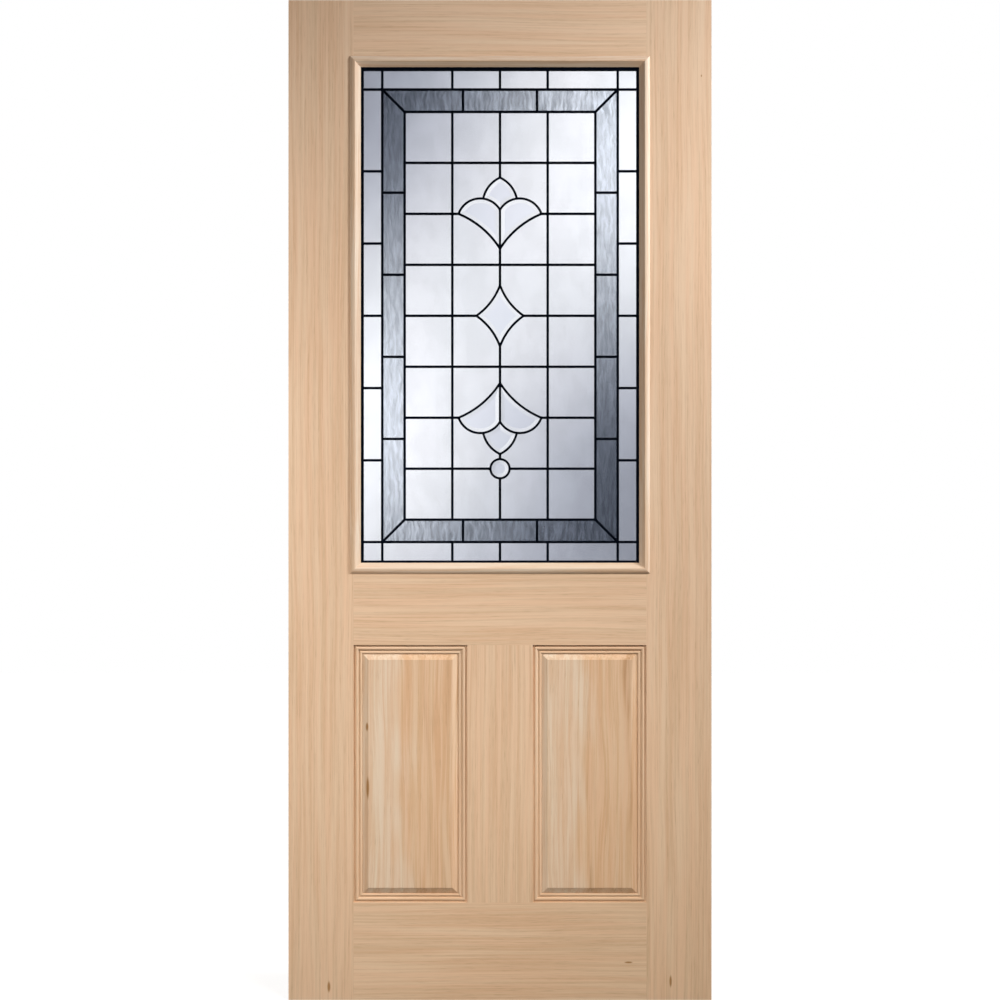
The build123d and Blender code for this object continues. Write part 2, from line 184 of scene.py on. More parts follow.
class DoorStudioSettings(bpy.types.PropertyGroup):
    """Camera and light."""

    camera_distance: length_property("Camera distance", "From the lens to the face of the leaf", 8.0)
    key_power: power_property("Key", "Power of the first spotlight", 1105.0)
    second_power: power_property("Second", "Power of the second spotlight", 600.0)
    right_power: power_property("Right", "Power of the right lamp", 5.75)
    left_power: power_property("Left", "Power of the left lamp", 7.6)
    back_power: power_property("Back", "Power of the lamp behind", 90.0)
    key_colour: colour_property("Key colour", "Colour of the first spotlight", (0.965, 0.985, 1.0))
    right_colour: colour_property("Right colour", "Colour of the right lamp", (1.0, 0.97, 0.92))
    left_colour: colour_property("Left colour", "Colour of the left lamp", (1.0, 0.945, 0.87))
    second_colour: colour_property("Second colour", "Colour of the second spotlight", (1.0, 0.96, 0.855))
    back_colour: colour_property("Back colour", "Colour of the lamp behind", (1.0, 0.97, 0.9))
    key_beam: beam_property("Key beam", "Width of the first spotlight's beam", 32.0)
    second_beam: beam_property("Second beam", "Width of the second spotlight's beam", 33.8)
    spot_radius: length_property("Spot radius", "Radius of both spotlights", 0.35)
    fill_size: length_property("Fill size", "Side of the right and left lamps", 0.5)
    back_size: length_property("Back size", "Side of the lamp behind", 1.5)
    ambient: colour_property("Ambient", "Light from all round", (0.09, 0.06, 0.035))
    mirrored: colour_property("Mirrored", "What the panes and the lead mirror", (0.02, 0.032, 0.06))
    glow_gap: length_property("Glow gap", "From the face of the leaf to the glow behind the glass", 0.6)
    glow_floor: strength_property("Glow floor", "Least light behind the glass", 0.385)
    glow_rise: strength_property("Glow rise", "Light added at the middle of a glow", 1.06)
    glow_radius: length_property("Glow radius", "Reach of a glow behind the glass", 0.667)
    glow_shade: colour_property("Glow shade", "Colour of the glow where it is weak", (0.84, 0.88, 1.0))


# Shader nodes


class Nodes:
    """A node tree, with short ways to add and link its nodes."""

    def __init__(self, tree):
        self.tree = tree

    def add(self, kind, inputs=None, **settings):
        """A node with its settings and inputs; an input is a value or another node's output."""
        made = self.tree.nodes.new(kind)
        for name, value in settings.items():
            setattr(made, name, value)
        for socket, value in (inputs or {}).items():
            self.feed(made.inputs[socket], value)
        return made

    def feed(self, socket, value):
        """Sets a socket to a value, or links an output to it."""
        if isinstance(value, bpy.types.NodeSocket):
            self.tree.links.new(value, socket)
        else:
            socket.default_value = value

    def maths(self, operation, *values):
        """The result of a sum on one to three values."""
        return self.add("ShaderNodeMath", dict(enumerate(values)), operation=operation).outputs[0]

    def between(self, value, low, high, to_low=0.0, to_high=1.0):
        """A value taken from one range to another, with soft ends."""
        inputs = {0: value, 1: low, 2: high, 3: to_low, 4: to_high}
        return self.add("ShaderNodeMapRange", inputs, interpolation_type="SMOOTHSTEP").outputs[0]

    def mixed(self, share, first, second, blend="MIX"):
        """Two colours mixed by a share."""
        inputs = {0: share, 6: opaque(first), 7: opaque(second)}
        return self.add("ShaderNodeMix", inputs, data_type="RGBA", blend_type=blend).outputs[2]


class Finish(Nodes):
    """A material of its own, with the patterns that its finish is made of."""

    def __init__(self, name):
        self.material = bpy.data.materials.new(name)
        self.material.use_nodes = True
        super().__init__(self.material.node_tree)
        self.shader = self.tree.nodes["Principled BSDF"]
        self.output = self.tree.nodes["Material Output"]

    def set(self, **inputs):
        """Sets or links sockets of the main shader, with underscores for spaces."""
        for name, value in inputs.items():
            self.feed(self.shader.inputs[name.replace("_", " ")], value)

    def place(self, level=False):
        """Object coordinates, turned so that a level board's grain runs along the third axis."""
        spot = self.add("ShaderNodeTexCoord").outputs["Object"]
        if not level:
            return spot
        turned = self.add("ShaderNodeMapping", {"Vector": spot, "Rotation": (0.0, math.pi / 2, 0.0)})
        return turned.outputs[0]

    def noise(self, place, size, detail=2.0, roughness=0.5):
        """Soft noise with cells of the given size along each axis, about one half."""
        scale = [1.0 / length for length in size]
        scaled = self.add("ShaderNodeMapping", {"Vector": place, "Scale": scale}).outputs[0]
        inputs = {"Vector": scaled, "Scale": 1.0, "Detail": detail, "Roughness": roughness}
        return self.add("ShaderNodeTexNoise", inputs).outputs["Fac"]

    def drifted(self, place, size, reach):
        """A place moved sideways by soft noise, so that the grain wanders."""
        drift = self.between(self.noise(place, size, 1.0), 0.25, 0.75, -reach, reach)
        sideways = self.add("ShaderNodeCombineXYZ", {"X": drift}).outputs[0]
        return self.add("ShaderNodeVectorMath", {0: place, 1: sideways}, operation="ADD").outputs[0]

    def spot(self, centre, size):
        """A soft oval mark: one at its centre and nothing outside it."""
        spot = self.add("ShaderNodeTexCoord").outputs["Object"]
        offset = self.add("ShaderNodeVectorMath", {0: spot, 1: centre}, operation="SUBTRACT").outputs[0]
        shares = self.add("ShaderNodeVectorMath", {0: offset, 1: size}, operation="DIVIDE").outputs[0]
        reach = self.add("ShaderNodeVectorMath", {0: shares}, operation="LENGTH").outputs["Value"]
        return self.between(reach, 1.0, 0.4)

    def distance(self, place, centre):
        """How far a place is from a centre."""
        inputs = {0: place, 1: centre}
        return self.add("ShaderNodeVectorMath", inputs, operation="DISTANCE").outputs["Value"]

    def bump(self, height, depth, strength=1.0):
        """Feeds a height to the main shader as bump."""
        inputs = {"Height": height, "Distance": depth, "Strength": strength}
        self.set(Normal=self.add("ShaderNodeBump", inputs).outputs[0])


def opaque(colour):
    """A colour with full alpha; an output passes as it is."""
    return colour if isinstance(colour, bpy.types.NodeSocket) else (*colour[:3], 1.0)


def paint(finish, *names):
    """Gives a finish to CAD nodes."""
    for name in names:
        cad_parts[name].material_slots[0].material = finish.material


def copied_shape(node):
    """A copy of a CAD node's mesh, with its loose triangles joined."""
    shape = bmesh.new()
    shape.from_mesh(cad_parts[node].data)
    bmesh.ops.remove_doubles(shape, verts=shape.verts, dist=MERGE_GAP)
    return shape


def new_piece(name, shape, finish, node, smooth=True):
    """A piece from a shape, in place of a CAD node; a smooth one is rounded except at its sharp edges."""
    mesh = bpy.data.meshes.new(name)
    shape.to_mesh(mesh)
    shape.free()
    if smooth:
        mesh.shade_smooth()
        mesh.set_sharp_from_angle(angle=SHARP_ANGLE)
    else:
        mesh.shade_flat()
    mesh.materials.append(finish.material)
    piece = bpy.data.objects.new(name, mesh)
    bpy.context.scene.collection.objects.link(piece)
    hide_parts(node)
    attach(piece, "root")


# Oak


def oak_finish(oak, name, level=False, drift=0.003, contrast=1.0, pale=None, marks=(), roughness=None):
    """Straight-grained oak along its board, with streaks, rows of pores and a few dark marks."""
    finish = Finish(name)
    place = finish.drifted(finish.place(level), (0.16, 0.16, 0.5), drift)
    tone = grain_tone(finish, oak, place, contrast)
    colour = finish.mixed(tone, oak.dark, pale or oak.pale)
    finish_oak(finish, oak, place, colour, tone, marks, roughness or oak.roughness)
    return finish


def oak_pair(oak, name, **look):
    """Oak with its grain upright, and the same oak with its grain level."""
    upright = oak_finish(oak, "oak_upright_" + name, level=False, **look)
    level = oak_finish(oak, "oak_level_" + name, level=True, **look)
    return upright, level


def grain_tone(finish, oak, place, contrast):
    """How pale the grain is at a place: fine streaks over broader bands."""
    width, length = oak.streak_width, oak.streak_length
    fine = finish.noise(place, (width, width, length), 4.0, 0.65)
    bands = finish.noise(place, (width * 4, width * 4, length * 3), 2.0)
    clouds = finish.noise(place, (width * 20, width * 20, length * 2), 1.0)
    broad = finish.maths("MULTIPLY_ADD", bands, 0.35, finish.maths("MULTIPLY", clouds, 0.15))
    streaks = finish.maths("MULTIPLY_ADD", fine, 0.5, broad)
    reach = 0.135 / contrast
    return finish.between(streaks, 0.5 - reach, 0.5 + reach)


def finish_oak(finish, oak, place, colour, tone, marks, roughness):
    """Adds a pink tinge, pores and dark marks to an oak colour, and sets the shader."""
    pink = finish.between(finish.noise(place, (0.012, 0.012, 0.3), 2.0), 0.35, 0.65)
    colour = finish.mixed(pink, colour, oak.blush, "MULTIPLY")
    rows = finish.noise(place, (oak.pore_width, oak.pore_width, oak.pore_length), 1.0)
    open_share = finish.between(tone, 1.0, 0.1, 0.35, 1.0)
    pores = finish.maths("MULTIPLY", finish.between(rows, 0.56, 0.72), open_share)
    colour = finish.mixed(finish.maths("MULTIPLY", pores, 0.32), colour, oak.pore)
    for centre, size in marks:
        colour = finish.mixed(finish.spot(centre, size), colour, oak.knot)
    sheen = finish.between(tone, 0.0, 1.0, roughness + 0.06, roughness - 0.06)
    finish.set(Base_Color=colour, Roughness=sheen, Specular_IOR_Level=0.4)
    finish.bump(finish.maths("SUBTRACT", 1.0, pores), oak.pore_depth, 0.6)


def panel_finish(oak, name, node, marks):
    """A panel that turns from pale sapwood to tan wood with brown heartwood along a wandering line."""
    low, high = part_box(node)
    joint_x = low.x + 0.45 * (high.x - low.x)
    finish = Finish(name)
    place = finish.drifted(finish.place(), (0.05, 0.05, 0.35), 0.005)
    split = finish.add("ShaderNodeSeparateXYZ", {0: place}).outputs
    across = finish.maths("SUBTRACT", split["X"], joint_x)
    wander = finish.between(finish.noise(place, (0.06, 0.06, 0.17), 1.0), 0.3, 0.7, -0.02, 0.02)
    tan_board = finish.between(finish.maths("ADD", across, wander), -0.024, 0.02)
    arch = finish.maths("MULTIPLY", across, across)
    rings = finish.maths("MULTIPLY_ADD", arch, 9.0, finish.maths("MULTIPLY", split["Z"], 0.05))
    figure_inputs = {"W": rings, "Scale": 60.0, "Detail": 2.0}
    figure = finish.add("ShaderNodeTexNoise", figure_inputs, noise_dimensions="1D").outputs["Fac"]
    fine = finish.noise(place, (0.0028, 0.0028, oak.streak_length), 4.0, 0.65)
    broad = finish.noise(place, (0.011, 0.011, 0.3), 2.0)
    streaks = finish.maths("MULTIPLY_ADD", fine, 0.45, finish.maths("MULTIPLY", broad, 0.4))
    tone = finish.between(finish.maths("MULTIPLY_ADD", figure, 0.15, streaks), 0.4, 0.6)
    pale_board = finish.mixed(finish.between(tone, 0.0, 1.0, 0.2, 0.88), oak.dark, oak.bead)
    brown = finish.noise(place, (0.02, 0.02, 0.3), 2.0)
    tan = finish.mixed(finish.between(brown, 0.5, 0.75), oak.tan, oak.heart)
    brown_board = finish.mixed(finish.between(tone, 0.0, 1.0, 0.05, 0.65), tan, oak.pale)
    colour = finish.mixed(tan_board, pale_board, brown_board)
    finish_oak(finish, oak, place, colour, tone, marks, oak.roughness)
    return finish


# Centres and reaches of the small knots and dark flecks
PANEL_MARKS = {
    "left": (
        (Vector((0.1555, face_y, 0.541)), Vector((0.0034, 0.04, 0.011))),
        (Vector((0.157, face_y, 0.42)), Vector((0.004, 0.04, 0.028))),
    ),
    "right": (),
}
STILE_MARKS = (
    (Vector((0.08, face_y, 0.0262)), Vector((0.004, 0.01, 0.014))),
    (Vector((0.757, face_y, 0.037)), Vector((0.0032, 0.01, 0.0152))),
    (Vector((0.818, face_y, 1.831)), Vector((0.0016, 0.01, 0.003))),
)
RAIL_MARKS = ((Vector((0.6735, face_y, 0.0745)), Vector((0.0105, 0.01, 0.0024))),)


class DOOR_OT_finish_frame(bpy.types.Operator):
    """Finish the stiles, edge lippings, rails and muntin in straight-grained oak"""

    bl_idname = "door.finish_frame"
    bl_label = "Finish Frame"

    def execute(self, context):
        oak = context.scene.door_oak
        upright = oak_finish(oak, "oak_upright_grain", contrast=1.25, marks=STILE_MARKS)
        level = oak_finish(oak, "oak_level_grain", level=True, contrast=1.25, marks=RAIL_MARKS)
        paint(upright, "left_stile", "right_stile", "muntin", "left_edge_lipping", "right_edge_lipping")
        paint(level, "top_rail", "middle_rail", "bottom_rail")
        return {"FINISHED"}


def opening_box(side):
    """Lowest and highest corner of a panel opening."""
    low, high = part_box(f"{side}_panel_moulding_left")
    width_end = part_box(f"{side}_panel_moulding_right")[1].x
    return low, Vector((width_end, high.y, high.z))


def field(shape, face, foot_inset, foot_rise, bevel_width, bevel_rise):
    """Raises a bevelled field out of a face, in from its edges."""
    bmesh.ops.inset_region(shape, faces=[face], thickness=foot_inset, use_even_offset=True)
    foot = bmesh.ops.extrude_discrete_faces(shape, faces=[face])["faces"]
    bmesh.ops.translate(shape, vec=foot[0].normal * foot_rise, verts=foot[0].verts)
    bevel = {"thickness": bevel_width, "depth": bevel_rise}
    bmesh.ops.inset_region(shape, faces=foot, use_even_offset=True, **bevel)


def both_faces(half):
    """A section of insets and depths below the face, as insets and Y from the outside to the inside."""
    outside = [(inset, face_y + depth) for inset, depth in half]
    return outside + [(inset, -y) for inset, y in reversed(outside)]


def bead_points(start, end, depth, rise, count=10):
    """The rounded top of a bead, from one inset to another."""
    middle, reach = (start + end) / 2, (end - start) / 2
    turns = [math.pi * step / count for step in range(count + 1)]
    return [(middle - reach * math.cos(turn), depth - rise * math.sin(turn)) for turn in turns]


class DOOR_OT_field_panels(bpy.types.Operator):
    """Make the two raised panels with a broad bevel, in figured oak"""

    bl_idname = "door.field_panels"
    bl_label = "Field Panels"

    def execute(self, context):
        oak, joinery = context.scene.door_oak, context.scene.door_joinery
        for side in SIDES:
            node = side + "_panel"
            low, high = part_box(node)
            tongue_depth = joinery.groove_depth + joinery.clearance
            tongue_size = (high.x - low.x, -2.0 * (face_y + tongue_depth), high.z - low.z)
            foot_inset = opening_box(side)[0].x + joinery.moulding + joinery.clearance - low.x
            foot_rise = tongue_depth - joinery.foot_depth
            bevel_rise = joinery.foot_depth - joinery.field_depth
            shape = bmesh.new()
            bmesh.ops.create_cube(shape, size=1.0)
            bmesh.ops.scale(shape, vec=tongue_size, verts=shape.verts)
            bmesh.ops.translate(shape, vec=(low + high) / 2, verts=shape.verts)
            shape.normal_update()
            for face in [face for face in shape.faces if abs(face.normal.y) > FLAT_ON]:
                field(shape, face, foot_inset, foot_rise, joinery.bevel, bevel_rise)
            finish = panel_finish(oak, "oak_" + node, node, PANEL_MARKS[side])
            new_piece(side + "_fielded_panel", shape, finish, node)
        return {"FINISHED"}


def mitred_run(section, low, high, place):
    """A length of a section along one side of an opening, drawn from mitre to mitre."""
    start_x, inward_x = (high.x, -1.0) if place == "right" else (low.x, 1.0)
    start_z, inward_z = (high.z, -1.0) if place == "top" else (low.z, 1.0)
    shape = bmesh.new()
    mitre = [(start_x + inward_x * inset, y, start_z + inward_z * inset) for inset, y in section]
    end = shape.faces.new([shape.verts.new(point) for point in mitre])
    drawn = bmesh.ops.extrude_face_region(shape, geom=[end])["geom"]
    far_end = [item for item in drawn if isinstance(item, bmesh.types.BMVert)]
    across = (-1.0, 1.0, 1.0) if place in LEVEL_PLACES else (1.0, 1.0, -1.0)
    middle = Matrix.Translation(-(low + high) / 2)
    bmesh.ops.scale(shape, vec=across, space=middle, verts=far_end)
    bmesh.ops.recalc_face_normals(shape, faces=shape.faces)
    return shape


def moulding_half(joinery):
    """Insets and depths of half a panel moulding: a sunk line, two beads and one side of the groove."""
    bead_end = joinery.quirk + joinery.bead
    small_start = bead_end + joinery.hollow
    small_end = small_start + joinery.small_bead
    half = [(0.0, joinery.quirk_depth)]
    half += bead_points(joinery.quirk, bead_end, joinery.quirk_depth, joinery.bead_rise)
    half.append((bead_end, joinery.hollow_depth))
    half += bead_points(small_start, small_end, joinery.hollow_depth, joinery.small_bead_rise)
    half += [(small_end, joinery.foot_depth), (joinery.moulding, joinery.foot_depth)]
    half += [(joinery.moulding, joinery.groove_depth), (joinery.groove_start, joinery.groove_depth)]
    return half


class DOOR_OT_run_mouldings(bpy.types.Operator):
    """Make the panel mouldings with two beads, in oak that runs along each length"""

    bl_idname = "door.run_mouldings"
    bl_label = "Run Mouldings"

    def execute(self, context):
        oak, joinery = context.scene.door_oak, context.scene.door_joinery
        upright, level = oak_pair(oak, "moulding", drift=0.008, contrast=1.3)
        section = both_faces(moulding_half(joinery))
        for side in SIDES:
            for place in PLACES:
                shape = mitred_run(section, *opening_box(side), place)
                finish = level if place in LEVEL_PLACES else upright
                node = f"{side}_panel_moulding_{place}"
                new_piece(f"{side}_beaded_run_{place}", shape, finish, node)
        return {"FINISHED"}


class DOOR_OT_finish_beads(bpy.types.Operator):
    """Finish the glazing beads in pale oak that runs along each length"""

    bl_idname = "door.finish_beads"
    bl_label = "Finish Beads"

    def execute(self, context):
        oak = context.scene.door_oak
        look = {"drift": 0.008, "contrast": 1.3, "pale": oak.bead, "roughness": oak.bead_roughness}
        upright, level = oak_pair(oak, "bead", **look)
        for finish in (upright, level):
            finish.set(Specular_IOR_Level=0.8)
        for place in PLACES:
            finish = level if place in LEVEL_PLACES else upright
            paint(finish, "outer_bead_" + place, "inner_bead_" + place)
        return {"FINISHED"}


# Lead and glass


# Middles of the two glows, from the middle of the light
GLOW_OFFSETS = (Vector((0.303, 0.0, 0.306)), Vector((-0.321, 0.0, -0.203)))


def glow_share(finish, studio, spread=1.0):
    """Two soft round glows, upper right and lower left, spread about the camera's line to the leaf."""
    flat_inputs = {0: finish.place(), 1: (1.0, 0.0, 1.0)}
    flat = finish.add("ShaderNodeVectorMath", flat_inputs, operation="MULTIPLY").outputs[0]
    shares = []
    for offset in GLOW_OFFSETS:
        seen_at = light_centre + offset - leaf_centre
        centre = (leaf_centre + seen_at * spread) * Vector((1.0, 0.0, 1.0))
        shares.append(finish.between(finish.distance(flat, centre), studio.glow_radius * spread, 0.0))
    return finish.maths("ADD", *shares)


def lead_finish(lead):
    """Blackened lead, a little uneven."""
    finish = Finish("blackened_lead")
    place = finish.place()
    tarnish = finish.noise(place, (0.012, 0.012, 0.012), 3.0)
    lighter = [2.4 * value for value in lead.colour]
    colour = finish.mixed(finish.between(tarnish, 0.4, 0.75), lead.colour, lighter)
    roughness = finish.between(tarnish, 0.3, 0.7, 0.62, 0.48)
    finish.set(Base_Color=colour, Roughness=roughness, Specular_IOR_Level=0.08)
    finish.bump(finish.noise(place, (0.002, 0.002, 0.002), 2.0), 0.00008)
    return finish


class DOOR_OT_crown_cames(bpy.types.Operator):
    """Make the lead cames with rounded shoulders on both faces"""

    bl_idname = "door.crown_cames"
    bl_label = "Crown Cames"

    def execute(self, context):
        lead = context.scene.door_lead
        shape = copied_shape("lead_cames")
        for cap_y, outward in ((light_low.y, -1.0), (light_high.y, 1.0)):
            facing = [face for face in shape.faces if face.normal.y * outward > FLAT_ON]
            caps = [face for face in facing if abs(face.calc_center_median().y - cap_y) < LEVEL_GAP]
            shoulder = {"thickness": lead.shoulder, "depth": lead.crown}
            bmesh.ops.inset_region(shape, faces=caps, use_boundary=True, use_even_offset=True, **shoulder)
        new_piece("crowned_cames", shape, lead_finish(lead), "lead_cames")
        return {"FINISHED"}


def obscure_finish(glass):
    """Stippled obscure glass, faintly blue."""
    finish = Finish("obscure_glass")
    place = finish.place()
    size = glass.grain_size
    stipple = finish.noise(place, (size, size, size), 2.0)
    swirl = finish.noise(place, (0.05, 0.05, 0.08), 2.0)
    darker = [0.94 * value for value in glass.obscure]
    colour = finish.mixed(finish.between(swirl, 0.35, 0.65), darker, glass.obscure)
    finish.set(Base_Color=colour, Roughness=glass.obscure_roughness, Transmission_Weight=1.0, IOR=1.5)
    finish.bump(stipple, 0.0003, 0.5)
    return finish


def blue_finish(glass, studio):
    """Slate-blue rippled glass with upright wisps, with the two glows behind it painted into its colour as a
    paler blue where they are strong.
    """
    finish = Finish("blue_rippled_glass")
    place = finish.drifted(finish.place(), (0.02, 0.02, 0.02), 0.0018)
    width, length = glass.wisp_width, glass.wisp_length
    wisps = finish.between(finish.noise(place, (width, width, length), 1.0), 0.3, 0.7)
    # Painted light: the glows behind the glass are painted into its colour, from deep blue where they are
    # weak to pale blue where they are strong
    glow = finish.maths("MULTIPLY_ADD", glow_share(finish, studio), 0.93, 0.12)
    share = finish.maths("POWER", finish.maths("MAXIMUM", glow, 0.0), 1.6)
    colour = finish.mixed(share, glass.blue_deep, glass.blue_pale)
    height = finish.add("ShaderNodeSeparateXYZ", {0: finish.place()}).outputs["Z"]
    low, high = (corner.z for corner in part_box("blue_border_glass"))
    from_low, from_high = finish.maths("SUBTRACT", height, low), finish.maths("SUBTRACT", high, height)
    level_share = finish.between(finish.maths("MINIMUM", from_low, from_high), 0.055, 0.04, 0.5, 1.0)
    reach = finish.maths("MULTIPLY", level_share, glass.wisp_contrast)
    streaks = finish.maths("MULTIPLY_ADD", finish.maths("MULTIPLY_ADD", wisps, 2.0, -1.0), reach, 1.0)
    colour = finish.mixed(1.0, colour, streaks, "MULTIPLY")
    finish.set(Base_Color=colour, Roughness=0.12, Transmission_Weight=1.0, IOR=1.5)
    finish.bump(wisps, 0.0003, 0.5)
    return finish


def clear_finish(glass):
    """Clear plate glass with a faint tint; its bevel slopes are a little rougher and carry a whiter colour as
    a painted highlight.
    """
    finish = Finish("bevelled_glass")
    slope = finish.add("ShaderNodeAttribute", attribute_name="slope").outputs["Fac"]
    grinding = finish.noise(finish.place(), (0.006, 0.006, 0.006), 2.0)
    roughness = finish.maths("MULTIPLY_ADD", slope, 0.08, finish.between(grinding, 0.3, 0.7, 0.02, 0.06))
    # Painted highlight: the bevel slopes get a whiter glass colour, standing for the bright glints on the
    # bevels
    colour = finish.mixed(slope, glass.clear, glass.slope_highlight)
    finish.set(Base_Color=colour, Roughness=roughness, Transmission_Weight=1.0, IOR=1.52)
    return finish


# How far a face turns from the flat, as one less its cosine, before it is all slope
SLOPE_TILT = 0.006


class DOOR_OT_grind_bevels(bpy.types.Operator):
    """Make the bevelled glass with its bevel slopes marked, to be made rougher and given a painted highlight
    apart from the flats
    """

    bl_idname = "door.grind_bevels"
    bl_label = "Grind Bevels"

    def execute(self, context):
        finish = clear_finish(context.scene.door_glass)
        for node in ("bevelled_clusters", "diamond_and_jewel"):
            shape = copied_shape(node)
            slope = shape.faces.layers.float.new("slope")
            for face in shape.faces:
                tilt = 1.0 - abs(face.normal.y)
                face[slope] = min(tilt / SLOPE_TILT, 1.0)
            new_piece("ground_" + node, shape, finish, node, smooth=False)
        return {"FINISHED"}


def pane_finish():
    """A clear thin pane: what is behind shows straight through, with a mirror that grows at steep angles."""
    finish = Finish("clear_pane")
    film = finish.noise(finish.place(), (0.2, 0.2, 0.3), 2.0)
    tint = finish.mixed(finish.between(film, 0.35, 0.65), (0.985, 0.99, 0.992), (0.994, 0.996, 0.998))
    through = finish.add("ShaderNodeBsdfTransparent", {"Color": tint}).outputs[0]
    mirror = finish.add("ShaderNodeBsdfGlossy", {"Roughness": 0.02}).outputs[0]
    share = finish.add("ShaderNodeFresnel", {"IOR": 1.5}).outputs[0]
    pane = finish.add("ShaderNodeMixShader", {0: share, 1: through, 2: mirror}).outputs[0]
    finish.feed(finish.output.inputs["Surface"], pane)
    return finish


def spacer_finish():
    """Bright drawn aluminium."""
    finish = Finish("drawn_aluminium")
    drawn = finish.noise(finish.place(), (0.0006, 0.0006, 0.05), 2.0)
    colour = finish.mixed(drawn, (0.62, 0.63, 0.64), (0.78, 0.79, 0.80))
    finish.set(Base_Color=colour, Metallic=1.0, Roughness=finish.between(drawn, 0.3, 0.7, 0.28, 0.42))
    return finish


class DOOR_OT_finish_glass(bpy.types.Operator):
    """Finish the obscure and blue glass, the two panes and the spacers"""

    bl_idname = "door.finish_glass"
    bl_label = "Finish Glass"

    def execute(self, context):
        glass, studio = context.scene.door_glass, context.scene.door_studio
        paint(obscure_finish(glass), "field_quarries", "edge_strip_glass")
        paint(blue_finish(glass, studio), "blue_border_glass")
        paint(pane_finish(), "outer_pane", "inner_pane")
        paint(spacer_finish(), "outer_spacer", "inner_spacer")
        return {"FINISHED"}


# Studio


def place_lamp(lamp, colour, spot, aim):
    """Puts a lamp at a spot, turned to what it is aimed at and hidden from the camera."""
    lamp.color = colour
    holder = bpy.data.objects.new(lamp.name, lamp)
    bpy.context.scene.collection.objects.link(holder)
    holder.location = spot
    holder.rotation_euler = (aim - spot).to_track_quat("-Z", "Y").to_euler()
    holder.visible_camera = False
    holder.visible_transmission = False
    return holder


def soft_lamp(name, power, colour, size, spot):
    """A square lamp that faces the middle of the leaf, kept out of the mirror of the panes."""
    lamp = bpy.data.lights.new(name, "AREA")
    lamp.energy = power
    lamp.shape = "SQUARE"
    lamp.size = size
    holder = place_lamp(lamp, colour, spot, leaf_centre)
    holder.visible_glossy = False
    return holder


def leave_out(holder, sheet):
    """Keeps a lamp's light off a sheet of the stage."""
    receivers = bpy.data.collections.new(holder.name + "_receivers")
    receivers.objects.link(sheet)
    receivers.collection_objects[0].light_linking.link_state = "EXCLUDE"
    holder.light_linking.receiver_collection = receivers


def spot_lamp(name, power, colour, beam, radius, spot, aim):
    """A spotlight with a beam that fades outwards all the way."""
    lamp = bpy.data.lights.new(name, "SPOT")
    lamp.energy = power
    lamp.spot_size = beam
    lamp.spot_blend = 1.0
    lamp.shadow_soft_size = radius
    return place_lamp(lamp, colour, spot, aim)


def flat_sheet(name, size, centre, finish, upright=False):
    """A plain rectangle of the stage, level or upright and facing the camera."""
    shape = bmesh.new()
    bmesh.ops.create_grid(shape, x_segments=1, y_segments=1, size=0.5)
    bmesh.ops.scale(shape, vec=(*size, 1.0), verts=shape.verts)
    if upright:
        turn = Vector((0.0, 0.0, 1.0)).rotation_difference(Vector((0.0, -1.0, 0.0))).to_matrix()
        bmesh.ops.rotate(shape, cent=(0.0, 0.0, 0.0), matrix=turn, verts=shape.verts)
    bmesh.ops.translate(shape, vec=centre, verts=shape.verts)
    mesh = bpy.data.meshes.new(name)
    shape.to_mesh(mesh)
    shape.free()
    mesh.materials.append(finish.material)
    sheet = bpy.data.objects.new(name, mesh)
    bpy.context.scene.collection.objects.link(sheet)
    return sheet


def seen_rays(nodes):
    """One for rays from the camera, straight or through glass, and nothing for other light."""
    rays = nodes.add("ShaderNodeLightPath").outputs
    return nodes.maths("MAXIMUM", rays["Is Camera Ray"], rays["Is Transmission Ray"])


def floor_finish():
    """White floor that keeps a soft shadow near the leaf and fades into the white behind."""
    finish = Finish("studio_floor")
    foot = leaf_centre * Vector((1.0, 1.0, 0.0))
    near = finish.between(finish.distance(finish.place(), foot), 1.0, 0.4)
    seen = seen_rays(finish)
    glow = finish.maths("MULTIPLY", seen, finish.between(near, 0.0, 1.0, 1.0, 0.91))
    finish.set(Base_Color=finish.mixed(seen, (0.08, 0.08, 0.08), (0.25, 0.25, 0.25)), Roughness=0.9)
    finish.set(Specular_IOR_Level=0.0, Emission_Color=(1.0, 1.0, 1.0, 1.0), Emission_Strength=glow)
    return finish


def glow_finish(studio):
    """Light behind the glass: two soft round glows in a bluish shade."""
    finish = Finish("studio_glow")
    glow = glow_share(finish, studio, 1.0 + studio.glow_gap / studio.camera_distance)
    light = finish.maths("MULTIPLY_ADD", glow, studio.glow_rise, studio.glow_floor)
    colour = finish.mixed(finish.between(light, 0.3, 1.2), studio.glow_shade, (1.0, 1.0, 1.0))
    emission = finish.add("ShaderNodeEmission", {"Color": colour, "Strength": light}).outputs[0]
    finish.feed(finish.output.inputs["Surface"], emission)
    return finish


def light_world(studio):
    """White where it is seen, a dark blue grey where it is mirrored, and a soft warm light from all round."""
    world = bpy.data.worlds.new("studio_world")
    world.use_nodes = True
    bpy.context.scene.world = world
    nodes = Nodes(world.node_tree)
    mirrored = nodes.add("ShaderNodeLightPath").outputs["Is Glossy Ray"]
    unseen = nodes.mixed(mirrored, studio.ambient, studio.mirrored)
    colour = nodes.mixed(seen_rays(nodes), unseen, (1.0, 1.0, 1.0))
    nodes.feed(world.node_tree.nodes["Background"].inputs["Color"], colour)


# Where the lamps stand and what the spotlights are aimed at, and the sheets of the stage
KEY_SPOT = Vector((4.52, -1.9, 3.6))
KEY_RAISE = Vector((0.0, 0.0, 0.09))
RIGHT_SPOT = Vector((1.4, -0.8, 1.63))
LEFT_SPOT = Vector((-0.57, -0.8, 1.11))
SECOND_SPOT = Vector((1.2, -4.08, 2.9))
SECOND_AIM = Vector((0.419, 0.0, -0.567))
BACK_SPOT = Vector((0.9, 3.0, 1.7))
FLOOR_SIZE = (30.0, 30.0)
FLOOR_SPOT = Vector((leaf_centre.x, 0.0, -0.001))
GLOW_SIZE = (2.2, 2.6)


